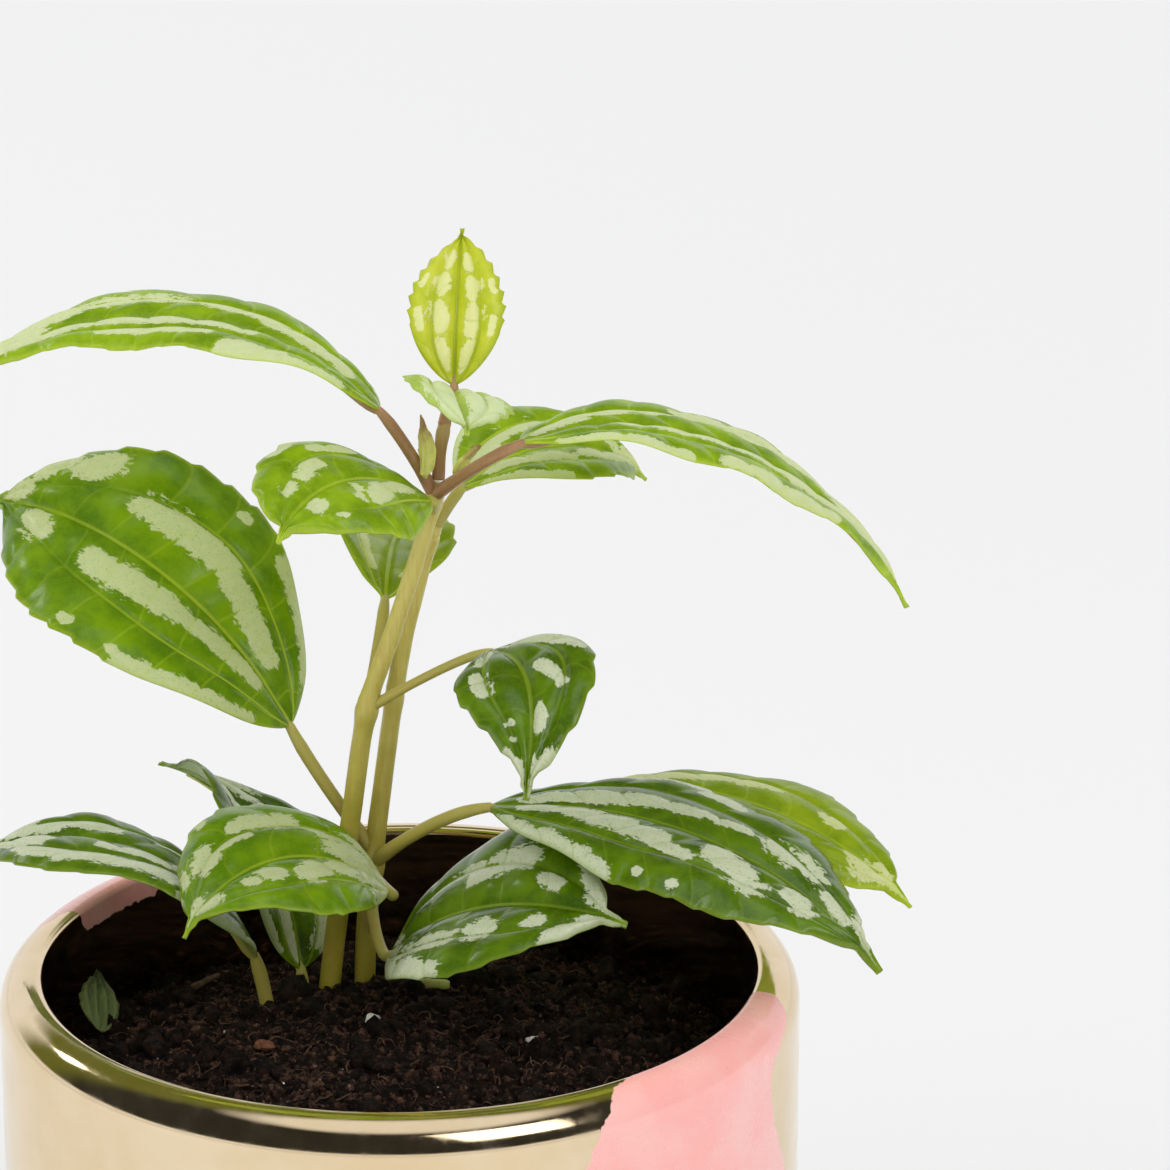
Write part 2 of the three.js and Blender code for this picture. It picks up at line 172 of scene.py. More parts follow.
# Bits lying on the soil: (x, y) of the middle of each, and its radius or its two ends
PERLITE = dict(at=(-4, -5), radius=1.2)
BARK = dict(at=(-20, -11), radius=1.6)
TWIG = dict(start=(-33, 22), end=(-28, 30), radius=0.6)
PALE_STICK = dict(start=(19, -9), end=(21, -7.5), radius=0.4)
OLD_STALK = dict(start=(1, 10), end=(7, 11), radius=0.9)

# ---------------- meshes


def make_piece(name, points, faces, material, replaces, values=None, smooth=True):
    """A mesh object from points in millimetres, with named float values on its points."""
    mesh = bpy.data.meshes.new(name)
    mesh.from_pydata((np.asarray(points) * MM).tolist(), [], [list(map(int, f)) for f in faces])
    for key, numbers in (values or {}).items():
        numbers = np.asarray(numbers, dtype=np.float32)
        if numbers.ndim == 2:
            layer = mesh.attributes.new(key, "FLOAT_VECTOR", "POINT")
            layer.data.foreach_set("vector", numbers.ravel())
        else:
            layer = mesh.attributes.new(key, "FLOAT", "POINT")
            layer.data.foreach_set("value", numbers)
    mesh.polygons.foreach_set("use_smooth", [smooth] * len(mesh.polygons))
    mesh.materials.append(material)
    mesh.validate()
    piece = bpy.data.objects.new(name, mesh)
    bpy.context.scene.collection.objects.link(piece)
    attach(piece, "root")
    if replaces:
        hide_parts(*replaces)
    return piece


def grid_faces(rows, columns, closed=False, start=0):
    """Quads of a grid of points; closed joins its last column to its first."""
    i = np.arange(rows - 1)[:, None]
    j = np.arange(columns if closed else columns - 1)[None, :]
    right = (j + 1) % columns
    corners = (i * columns + j, i * columns + right, (i + 1) * columns + right,
               (i + 1) * columns + j)
    return np.stack([np.broadcast_to(c, (rows - 1, j.size)).ravel() for c in corners], 1) + start


def closed_rings(rows, sides):
    """Faces of a closed surface made of rings of points, with a flat cap at each end."""
    first = list(range(sides))
    last = [(rows - 1) * sides + k for k in first]
    return list(grid_faces(rows, sides, closed=True)) + [first[::-1], last]


def joined(parts):
    """Several (points, faces, values) as one, with the face numbers moved on."""
    points, faces, values, count = [], [], {}, 0
    for part_points, part_faces, part_values in parts:
        points.append(part_points)
        faces += [[int(k) + count for k in face] for face in part_faces]
        for key, numbers in part_values.items():
            values.setdefault(key, []).append(numbers)
        count += len(part_points)
    return np.vstack(points), faces, {k: np.concatenate(v) for k, v in values.items()}


def noise_at(points, size, seed):
    """Smooth noise from -1 to 1 at each point, with lumps of that size."""
    shift = Vector((seed * 17.3, seed * -9.1, seed * 5.7))
    return np.array([noise.noise(Vector(p) / size + shift) for p in points])


def curve_through(controls, steps):
    """Points of a Catmull-Rom curve through the controls."""
    controls = [Vector(c) for c in controls]
    ends = [controls[0] * 2 - controls[1]] + controls + [controls[-1] * 2 - controls[-2]]
    points = []
    spans = len(controls) - 1
    for i in range(spans * steps + 1):
        k, t = min(divmod(i, steps), (spans - 1, steps))
        t /= steps
        a, b, c, d = ends[k:k + 4]
        points.append(0.5 * ((2 * b) + (c - a) * t + (2 * a - 5 * b + 4 * c - d) * t * t
                             + (3 * b - a - 3 * c + d) * t ** 3))
    return np.array(points)


def smooth_step(low, high, x):
    t = np.clip((np.asarray(x, dtype=float) - low) / (high - low), 0, 1)
    return t * t * (3 - 2 * t)


def unit(vectors):
    return vectors / np.maximum(np.linalg.norm(vectors, axis=-1, keepdims=True), 1e-9)


def tube(line, radii, sides):
    """A closed tube along a line of points, with a radius at each point."""
    line = np.asarray(line)
    along = unit(np.gradient(line, axis=0))
    side = np.cross(along[0], (0.0, 0.0, 1.0))
    if np.linalg.norm(side) < 0.1:
        side = np.cross(along[0], (0.0, 1.0, 0.0))
    side = side / np.linalg.norm(side)
    rings = []
    angles = np.arange(sides) * 2 * np.pi / sides
    for i, point in enumerate(line):
        side = side - along[i] * np.dot(side, along[i])
        side /= np.linalg.norm(side)
        up = np.cross(side, along[i])
        ring = np.outer(np.cos(angles), side) + np.outer(np.sin(angles), up)
        rings.append(point + ring * radii[i])
    points = np.vstack(rings)
    faces = closed_rings(len(line), sides)
    share = np.repeat(np.linspace(0, 1, len(line)), sides)
    return points, faces, {"along": share}


# ---------------- materials


class Nodes:
    """Short calls that add nodes to a node tree."""

    def __init__(self, tree):
        self.nodes = tree.nodes
        self.links = tree.links

    def put(self, socket, value):
        if isinstance(value, bpy.types.NodeSocket):
            self.links.new(value, socket)
        elif hasattr(socket.default_value, "__len__") and len(socket.default_value) == 4:
            socket.default_value = (*value, 1) if len(value) == 3 else value
        else:
            socket.default_value = value

    def node(self, kind, settings=None, **sockets):
        made = self.nodes.new("ShaderNode" + kind)
        for key, value in (settings or {}).items():
            setattr(made, key, value)
        for key, value in sockets.items():
            self.put(made.inputs[key.replace("_", " ")], value)
        return made

    def value(self, name):
        return self.node("Attribute", {"attribute_name": name}).outputs["Fac"]

    def vector(self, name):
        return self.node("Attribute", {"attribute_name": name}).outputs["Vector"]

    def place(self):
        """Object coordinates, in millimetres."""
        here = self.node("TexCoord").outputs["Object"]
        return self.node("VectorMath", {"operation": "SCALE"}, Vector=here, Scale=1000.0).outputs[0]

    def noise(self, size, where=None, detail=3.0, roughness=0.55):
        return self.node("TexNoise", Vector=where or self.place(), Scale=1 / size, Detail=detail,
                         Roughness=roughness).outputs["Fac"]

    def cells(self, size, where):
        return self.node("TexVoronoi", Vector=where, Scale=1 / size).outputs["Distance"]

    def math(self, operation, a, b=0.0):
        made = self.node("Math", {"operation": operation})
        self.put(made.inputs[0], a)
        self.put(made.inputs[1], b)
        return made.outputs[0]

    def plus(self, a, b):
        return self.math("ADD", a, b)

    def times(self, a, b):
        return self.math("MULTIPLY", a, b)

    def centred(self, value, reach):
        """A 0 to 1 value moved to lie about zero, and scaled."""
        return self.times(self.math("SUBTRACT", value, 0.5), reach)

    def step(self, value, low, high, start=0.0, end=1.0):
        made = self.node("MapRange", {"interpolation_type": "SMOOTHSTEP"})
        self.put(made.inputs["Value"], value)
        for key, number in zip(("From Min", "From Max", "To Min", "To Max"),
                               (low, high, start, end)):
            self.put(made.inputs[key], number)
        return made.outputs["Result"]

    def mix(self, share, a, b, blend="MIX"):
        made = self.node("Mix", {"data_type": "RGBA", "blend_type": blend})
        self.put(made.inputs["Factor"], share)
        self.put(made.inputs[6], a)
        self.put(made.inputs[7], b)
        return made.outputs[2]


class Look(Nodes):
    """A material on one Principled shader."""

    def __init__(self, name, **sockets):
        self.material = bpy.data.materials.new(name)
        self.material.use_nodes = True
        super().__init__(self.material.node_tree)
        self.shader = self.nodes["Principled BSDF"]
        self.set(**sockets)

    def set(self, **sockets):
        for name, value in sockets.items():
            self.put(self.shader.inputs[name.replace("_", " ")], value)

    def bump(self, height, distance, strength):
        return self.node("Bump", Height=height, Distance=distance * MM,
                         Strength=strength).outputs["Normal"]

    def line(self, distance, width, strength):
        """A thin line where the distance is near zero; it goes from strength at once to nothing."""
        return self.times(self.step(self.math("ABSOLUTE", distance), width * 0.4, width, 1.0, 0.0),
                          strength)

    def veins(self, flat, along):
        """Pale lines along the midrib, the two side veins and the cross veins of a blade."""
        across = self.node("SeparateXYZ", Vector=flat).outputs["Y"]
        to_rung = self.times(self.math("PINGPONG", self.value("rungs"), 0.5), CROSS_VEIN_PITCH)
        middle = self.line(across, 0.42, self.step(along, 0.0, 0.9, 0.9, 0.35))
        lateral = self.line(self.value("lateral"), 0.34, self.step(along, 0.1, 0.8, 0.75, 0.0))
        rungs = self.line(to_rung, 0.32, self.step(along, 0.15, 0.9, 0.26, 0.1))
        return self.math("MAXIMUM", middle, self.math("MAXIMUM", lateral, rungs))


def colour(red, green, blue):
    """A linear colour from the 0 to 255 values that a screen shows."""
    return tuple(((c / 255 + 0.055) / 1.055) ** 2.4 if c > 10 else c / 255 / 12.92
                 for c in (red, green, blue))


# How light that comes through a blade is tinted, in its green and in its silver, and how much the
# blade brightens it
GREEN_SHINE = (1.0, 0.84, 0.13)
SILVER_SHINE = (0.92, 0.84, 0.82)
SHINE_GAIN = (2.2, 2.2, 2.2)


def leaf_look(name, shades, rough, glow):
    """A leaf blade: green lamina, silver patches with ragged edges, sunken paler veins."""
    deep, fresh, silver, under, vein = [colour(*shade) for shade in shades]
    look = Look(name, Specular_IOR_Level=0.45, Coat_Weight=0.4, Coat_Roughness=0.12)
    flat = look.vector("flat")
    along = look.value("along")
    brushed = look.node("Mapping", Vector=flat, Scale=(0.5, 1.0, 1.0)).outputs[0]
    ragged = look.noise(0.45, brushed, detail=6.0, roughness=0.8)
    coarse = look.noise(1.8, brushed, detail=3.0)
    field = look.plus(look.value("silver"), look.centred(ragged, 0.8))
    patch = look.step(look.plus(field, look.centred(coarse, 0.6)), 0.48, 0.54)
    green = look.mix(look.step(look.noise(6.0, flat, detail=4.0, roughness=0.6), 0.3, 0.7), deep,
                     fresh)
    fine = look.noise(0.35, flat, detail=2.0)
    green = look.mix(look.step(fine, 0.3, 0.75, 0.0, 0.35), green, fresh)
    pits = look.step(look.noise(0.28, flat, detail=1.0), 0.6, 0.7, 0.0, 0.4)
    metal = look.mix(pits, silver, fresh)
    metal = look.mix(look.step(look.noise(1.3, flat), 0.35, 0.75, 0.0, 0.12), metal, fresh)
    body = look.mix(patch, green, metal)
    body = look.mix(look.veins(flat, along), body, vein)
    body = look.mix(look.times(look.value("edge"), 0.5), body, vein)
    body = look.mix(look.value("under"), body, under)
    height = look.plus(look.times(patch, 0.35), look.times(fine, 0.5))
    height = look.plus(height, look.times(look.cells(0.9, flat), 0.5))
    look.set(Base_Color=body, Normal=look.bump(height, 0.12, 0.6))
    look.set(Roughness=look.mix(patch, (rough,) * 3, (rough + 0.12,) * 3))
    thin_shine_through(look, body, glow, look.mix(patch, GREEN_SHINE, SILVER_SHINE))
    return look.material


def thin_shine_through(look, body, share, tint):
    """Lets light from behind show through, tinted."""
    through = look.mix(1.0, body, tint, "MULTIPLY")
    bright = look.mix(1.0, through, SHINE_GAIN, "MULTIPLY")
    behind = look.node("BsdfTranslucent", Color=bright)
    mixed = look.node("MixShader", Fac=share)
    look.links.new(look.shader.outputs[0], mixed.inputs[1])
    look.links.new(behind.outputs[0], mixed.inputs[2])
    look.links.new(mixed.outputs[0], look.nodes["Material Output"].inputs["Surface"])


def stem_look(name, low, high, blush):
    """Smooth juicy stem: colour drifts from its foot to its top, with faint lengthwise streaks."""
    look = Look(name, Roughness=0.42, Coat_Weight=0.2, Coat_Roughness=0.2,
                Subsurface_Weight=0.25, Subsurface_Scale=0.0012, Subsurface_Radius=(1, 0.8, 0.3))
    drift = look.plus(look.value("along"), look.centred(look.noise(4.0), 0.5))
    body = look.mix(look.step(drift, 0.05, 0.95), low, high)
    stretched = look.node("Mapping", Vector=look.place(), Scale=(2.2, 2.2, 0.12)).outputs[0]
    streaks = look.noise(1.0, stretched, detail=3.0)
    body = look.mix(look.step(streaks, 0.4, 0.75, 0.0, 0.5), body, blush)
    speckle = look.step(look.noise(0.35), 0.62, 0.75, 0.0, 0.35)
    body = look.mix(speckle, body, high)
    look.set(Base_Color=body, Normal=look.bump(streaks, 0.15, 0.5))
    return look.material


def soil_look(name, dark, brown, grain_and_glint):
    """Dark clumped peat; its pale spots are partly paler grains and partly painted glints."""
    look = Look(name, Roughness=0.9, Specular_IOR_Level=0.25)
    clump = look.noise(2.0, detail=6.0, roughness=0.75)
    body = look.mix(look.step(clump, 0.42, 0.66), dark, brown)
    # Pale spots: partly paler grains, partly painted glints of light on the grains.
    tint = look.noise(0.7, detail=4.0, roughness=0.7)
    body = look.mix(look.step(tint, 0.58, 0.72, 0.0, 0.8), body, grain_and_glint)
    grain = look.noise(0.4, detail=6.0, roughness=0.8)
    look.set(Base_Color=body, Normal=look.bump(grain, 0.6, 1.0))
    return look.material


def plain_bit_look(name, light, dark):
    """A dry matt bit, mottled from light to dark."""
    look = Look(name, Roughness=0.8)
    body = look.mix(look.step(look.noise(0.8, detail=5.0, roughness=0.7), 0.35, 0.68), light, dark)
    look.set(Base_Color=body, Normal=look.bump(look.noise(0.4, detail=4.0), 0.2, 0.8))
    return look.material


def pot_look():
    """Gold lustre over a pale glaze, with a satin pink glaze laid on in patches."""
    look = Look("pot_glaze", Coat_Roughness=0.08, Specular_IOR_Level=0.5)
    edge = look.centred(look.noise(1.6, detail=4.0), 1.6)
    pink = look.step(look.plus(look.value("pink"), edge), -0.15, 0.15)
    wear = look.noise(14.0, detail=5.0, roughness=0.6)
    gold = look.mix(look.step(wear, 0.3, 0.7), colour(228, 205, 166), colour(234, 214, 180))
    rose = look.mix(look.step(look.noise(9.0, detail=3.0), 0.35, 0.7), colour(247, 172, 166),
                    colour(246, 184, 177))
    look.set(Base_Color=look.mix(pink, gold, rose))
    look.set(Metallic=look.math("SUBTRACT", 1.0, pink))
    smear = look.step(look.noise(5.0, detail=6.0, roughness=0.7), 0.35, 0.75, 0.07, 0.2)
    look.set(Roughness=look.plus(smear, look.times(pink, 0.18)))
    look.set(Coat_Weight=look.times(pink, 0.6))
    wave = look.noise(18.0, detail=2.0)
    look.set(Normal=look.bump(look.plus(wave, look.times(pink, 0.12)), 0.25, 0.5))
    return look.material


# ---------------- pot


def arc(x, z, radius, start, end, steps):
    angles = np.radians(np.linspace(start, end, steps + 1))
    return list(zip(x + radius * np.cos(angles), z + radius * np.sin(angles)))


def pot_profile():
    """The pot's outline as (radius, height), from under its middle, over the lip, to its floor."""
    inner = POT_RADIUS - POT_WALL
    foot = POT_RADIUS - POT_FOOT_ROUND
    lip = POT_RADIUS - POT_LIP_ROUND
    fillet_x = inner - POT_INNER_FILLET
    fillet_z = POT_FLOOR + POT_INNER_FILLET
    outside = [(r, 0.0) for r in np.linspace(2, foot - 1, 10)]
    outside += arc(foot, POT_FOOT_ROUND, POT_FOOT_ROUND, -90, 0, 10)
    outside += [(POT_RADIUS, z) for z in np.linspace(5, POT_HEIGHT - POT_LIP_ROUND - 1, 60)]
    outside += arc(lip, POT_HEIGHT - POT_LIP_ROUND, POT_LIP_ROUND, 0, 90, 28)
    inside = arc(inner + POT_INNER_LIP_ROUND, POT_HEIGHT - POT_INNER_LIP_ROUND,
                 POT_INNER_LIP_ROUND, 90, 180, 5)
    inside += [(inner, z) for z in np.linspace(POT_HEIGHT - 3, fillet_z + 1, 24)]
    inside += arc(fillet_x, fillet_z, POT_INNER_FILLET, 0, -90, 10)
    inside += [(r, POT_FLOOR) for r in np.linspace(fillet_x - 2, 2, 10)]
    return outside + inside


# Outlines of the two pink patches: (angle round the pot, distance up the wall and over the lip)
FRONT_PATCH = [(308, 113), (305, 112), (303.5, 110), (300.5, 106.5), (298, 101), (295, 90),
               (294, 72), (298, 52), (307, 38), (320, 32), (334, 36), (344, 50), (347, 68),
               (343, 84), (338, 93), (336, 100), (337, 103.5), (341, 105.5), (346, 107.5),
               (348, 110), (347, 113.5), (340, 118), (318, 118)]
BACK_PATCH = [(136, 118), (138, 113), (140, 108), (143, 98), (150, 88), (163, 82), (177, 84),
              (181, 94), (179, 102), (176, 106), (173, 105.5), (170, 108.5), (167, 109), (164, 111.5),
              (161, 112), (159, 114), (157, 118)]


def inside_patch(angle, height, outline):
    """Millimetres inside the outline, negative outside it."""
    arc_mm = math.radians(1) * POT_RADIUS
    corners = np.array(outline, dtype=float) * (arc_mm, 1)
    x = np.asarray(angle) * arc_mm
    y = np.asarray(height)
    nearest = np.full(x.shape, 1e9)
    inside = np.zeros(x.shape, dtype=bool)
    for (ax, ay), (bx, by) in zip(corners, np.roll(corners, -1, axis=0)):
        span = (bx - ax) ** 2 + (by - ay) ** 2
        t = np.clip(((x - ax) * (bx - ax) + (y - ay) * (by - ay)) / span, 0, 1)
        nearest = np.minimum(nearest, np.hypot(x - ax - t * (bx - ax), y - ay - t * (by - ay)))
        crosses = (ay > y) != (by > y)
        if ay != by:
            inside ^= crosses & (x < (bx - ax) * (y - ay) / (by - ay) + ax)
    return np.where(inside, nearest, -nearest)


def build_pot():
    """The pot turned from its outline, with how far inside a pink patch each point is."""
    profile = np.array(pot_profile())
    sides = POT_SIDES
    angles = np.radians(np.arange(sides) * 360 / sides)
    rings = np.stack([np.outer(profile[:, 0], np.cos(angles)),
                      np.outer(profile[:, 0], np.sin(angles)),
                      np.repeat(profile[:, 1:], sides, axis=1)], axis=2)
    points = rings.reshape(-1, 3)
    faces = closed_rings(len(profile), sides)
    travelled = np.concatenate([[0], np.cumsum(np.hypot(*np.diff(profile, axis=0).T))])
    wall_start = np.argmax(profile[:, 0] > POT_RADIUS - 1e-6)
    height = travelled - travelled[wall_start] + profile[wall_start, 1]
    angle = np.degrees(angles)[None, :] + np.zeros((len(profile), 1))
    height = height[:, None] + np.zeros((1, sides))
    pink = np.maximum(inside_patch(angle, height, FRONT_PATCH),
                      inside_patch(angle, height, BACK_PATCH))
    make_piece("pot_body", points, faces, pot_look(), ["pot"], {"pink": pink.ravel()})


# ---------------- soil


def soil_height(x, y):
    """The smooth mound, which falls towards the wall and slopes down to the back."""
    reach = np.minimum(np.hypot(x, y) / (POT_RADIUS - POT_WALL), 1)
    return SOIL_TOP + 1 - SOIL_FALL_AT_WALL * reach ** 2 - SOIL_TILT * y


def rough_soil_height(x, y):
    """The mound with its lumps, crumbs and hollows."""
    flat = np.stack([x, y, np.zeros_like(x)], axis=1)
    lumps = noise_at(flat, 11, 1) * 1.6 + noise_at(flat, 4.5, 2) * 1.1
    crumbs = np.abs(noise_at(flat, 2.2, 3)) * 1.3 + noise_at(flat, 1.0, 4) * 0.5
    return soil_height(x, y) + lumps + crumbs - 0.6


def build_soil(look):
    """The filling of the pot: the rough mound, its side and its underside."""
    edge = POT_RADIUS - POT_WALL - GAP
    radii = np.linspace(0.3, edge, SOIL_RINGS)
    sides = SOIL_SIDES
    angles = np.arange(sides) * 2 * np.pi / sides
    x = np.outer(radii, np.cos(angles)).ravel()
    y = np.outer(radii, np.sin(angles)).ravel()
    top = np.stack([x, y, rough_soil_height(x, y)], axis=1)
    ring = np.stack([edge * np.cos(angles), edge * np.sin(angles)], axis=1)
    low_ring = np.column_stack([ring, np.full(sides, POT_FLOOR + POT_INNER_FILLET)])
    base_ring = np.column_stack([ring * (edge - POT_INNER_FILLET) / edge,
                                 np.full(sides, POT_FLOOR + GAP)])
    points = np.vstack([top, low_ring, base_ring])
    faces = [face[::-1] for face in closed_rings(len(radii) + 2, sides)]
    make_piece("soil_surface", points, faces, look, ["soil"])


def icosphere(steps):
    """Points and faces of a unit icosphere."""
    ball = bmesh.new()
    bmesh.ops.create_icosphere(ball, subdivisions=steps, radius=1)
    points = np.array([v.co[:] for v in ball.verts])
    faces = np.array([[v.index for v in f.verts] for f in ball.faces])
    ball.free()
    return points, faces


def scatter_crumbs(name, count, smallest, largest, detail, look, power=2.5):
    """Crumbs of random size, turned and dented at random, lying on the soil."""
    shape, shape_faces = icosphere(detail)
    radius = CRUMB_REACH * np.sqrt(rng.random(count))
    angle = rng.random(count) * 2 * np.pi
    x = radius * np.cos(angle)
    y = radius * np.sin(angle)
    size = smallest + (largest - smallest) * rng.random(count) ** power
    z = rough_soil_height(x, y) + size * (1 - CRUMB_SINK * 2)
    stretch = 0.55 + 0.9 * rng.random((count, 1, 3))
    dents = 0.72 + 0.56 * rng.random((count, len(shape), 1))
    body = shape[None] * stretch * dents * size[:, None, None]
    turns = np.linalg.qr(rng.normal(size=(count, 3, 3)))[0]
    turns *= np.sign(np.linalg.det(turns))[:, None, None]
    body = np.einsum("nij,nkj->nki", turns, body)
    points = (body + np.stack([x, y, z], axis=1)[:, None]).reshape(-1, 3)
    faces = (shape_faces[None] + (np.arange(count) * len(shape))[:, None, None]).reshape(-1, 3)
    make_piece(name, points, faces, look, (), smooth=detail > 1)


def scatter_fibres(name, count, look):
    """Fine rootlets and peat fibres lying on the soil, each on its own wandering line."""
    parts = []
    for _ in range(count):
        radius = FIBRE_REACH * math.sqrt(rng.random())
        angle = rng.random() * 2 * math.pi
        x = radius * math.cos(angle)
        y = radius * math.sin(angle)
        heading = rng.random() * 2 * math.pi
        length = 1.5 + 6 * rng.random() ** 2
        bend = rng.normal() * 0.35
        line = []
        for _ in range(FIBRE_STEPS):
            heading += bend + rng.normal() * 0.15
            x += math.cos(heading) * length / FIBRE_STEPS
            y += math.sin(heading) * length / FIBRE_STEPS
            line.append((x, y))
        line = np.array(line)
        if np.hypot(*line.T).max() > CRUMB_REACH:
            continue
        lift = 0.25 + 0.9 * rng.random() * np.sin(np.linspace(0, np.pi, FIBRE_STEPS))
        height = rough_soil_height(line[:, 0], line[:, 1]) + lift
        path = np.column_stack([line, height])
        thick = 0.05 + 0.09 * rng.random()
        parts.append(tube(path, thick * np.linspace(1, 0.5, FIBRE_STEPS), sides=5))
    points, faces, values = joined(parts)
    make_piece(name, points, faces, look, (), values)


# ---------------- stems


def stem_line(name, steps=24):
    return curve_through(STEMS[name], steps)


def point_at_height(line, height):
    return line[np.argmin(np.abs(line[:, 2] - height))]


def build_stem(name, piece, foot, top, nodes, look):
    """A stem that narrows upwards and swells into a ring at each node."""
    line = stem_line(name)
    share = np.linspace(0, 1, len(line))
    radii = foot + (top - foot) * share
    for node, swell in nodes:
        radii = radii + swell * np.exp(-((line[:, 2] - node) / 2.2) ** 2)
        radii = radii - 0.08 * np.exp(-((line[:, 2] - node - 0.6) / 0.35) ** 2)
    points, faces, values = tube(line, radii, sides=28)
    points = points + 0.07 * noise_at(points * (1, 1, 0.25), 1.6, 3)[:, None] * unit(
        points - np.repeat(line, 28, axis=0))
    make_piece(piece, points, faces, look, [name], values)


# ---------------- leaves


def half_width(u, belly, taper):
    """Half the width of a blade at the share u of its length, as a share of its widest."""
    body = np.sin(np.pi * np.minimum(u / 0.93, 1) ** belly)
    body = np.maximum(body, 0) ** taper
    drip_tip = np.where(u > 0.5, 0.1 * np.minimum((1 - u) / 0.12, 1) ** 0.8, 0)
    return np.maximum(body, drip_tip)


def direction(heading, pitch):
    """A unit vector at that heading round z, and that pitch above level."""
    h = np.radians(heading)
    p = np.radians(pitch)
    return np.stack([np.cos(p) * np.cos(h), np.cos(p) * np.sin(h), np.sin(p)], axis=-1)


def midrib(leaf, steps):
    """Points along a blade's midrib, which bends and turns evenly from base to tip."""
    s = (np.arange(steps) + 0.5) / steps
    ways = direction(leaf["heading"] + leaf["turn"] * (s - 0.5), leaf["pitch"] - leaf["bend"] * s)
    path = np.vstack([np.zeros(3), np.cumsum(ways * leaf["length"] / steps, axis=0)])
    return path + np.array(leaf["base"], dtype=float)


def frames_along(line, roll, twist):
    """The directions across and up from a blade at each point of its midrib."""
    along = unit(np.gradient(line, axis=0))
    chord = line[-1] - line[0]
    level = unit(np.array([chord[1], -chord[0], 0.0]))
    across = unit(level - along * (along @ level)[:, None])
    angle = np.radians(roll + twist * np.linspace(0, 1, len(line)))[:, None]
    across = across * np.cos(angle) + np.cross(along, across) * np.sin(angle)
    return across, np.cross(across, along)


def teeth(u, length, seed, depth, pitch):
    """How far the margin stands in at each notch, from the tooth just before it."""
    count = length / pitch
    phase = (u * count + seed) % 1.0
    saw = np.where(phase < 0.82, phase / 0.82, (1 - phase) / 0.18)
    return (saw - 0.5) * depth * smooth_step(0.28, 0.45, u) * smooth_step(1.0, 0.93, u)


def vein_relief(u, v, half, length, seed):
    """Height of the quilted blade over its smooth shape, and where its veins run.

    Besides the height: how near each point is to a vein, its distance in from the vein that runs
    up each half of the blade, and which of the cross veins it lies between.
    """
    side = np.abs(v)
    lateral = 0.52 - 0.1 * smooth_step(0.55, 0.9, u) + 0.04 * np.sin(u * 9 + seed)
    inner = np.minimum(side, lateral) * half
    outer = np.maximum(side - lateral, 0) * half
    to_lateral = (side - lateral) * half
    near_mid = np.exp(-(side * half / 0.55) ** 2)
    near_side = np.exp(-(to_lateral / 0.45) ** 2) * (1 - smooth_step(0.72, 0.9, u))
    near_side = near_side * smooth_step(0.0, 0.06, u)
    fade = smooth_step(0.02, 0.18, u) * (1 - smooth_step(0.9, 1.0, u))
    rungs = (u * length + 0.55 * inner - 0.35 * outer) / CROSS_VEIN_PITCH
    rungs = rungs + seed * 0.37 + 0.5 * (v > 0) + 0.12 * np.sin(v * 7 + seed * 3)
    ribs = np.abs(np.sin(np.pi * rungs))
    within = np.where(side < lateral, np.sin(np.pi * np.clip(side / lateral, 0, 1)),
                      np.sin(np.pi * np.clip((side - lateral) / (1 - lateral), 0, 1)))
    puff = within * (0.35 + 0.65 * ribs ** 0.7) * fade
    height = 0.62 * puff - 0.42 * near_mid * (1 - 0.6 * u) - 0.3 * near_side
    cross = np.exp(-(ribs / 0.1) ** 2) * within * fade
    near = np.maximum(near_mid * (1 - 0.55 * u), np.maximum(near_side * 0.7, cross * 0.35))
    return height, near, to_lateral, rungs


def both(*patches):
    """Patches given on the right-hand half, and the same on the left."""
    return [p for u0, u1, v0, v1, w in patches
            for p in ((u0, u1, v0, v1, w), (u0 + 2, u1 + 2, -v0, -v1, w))]


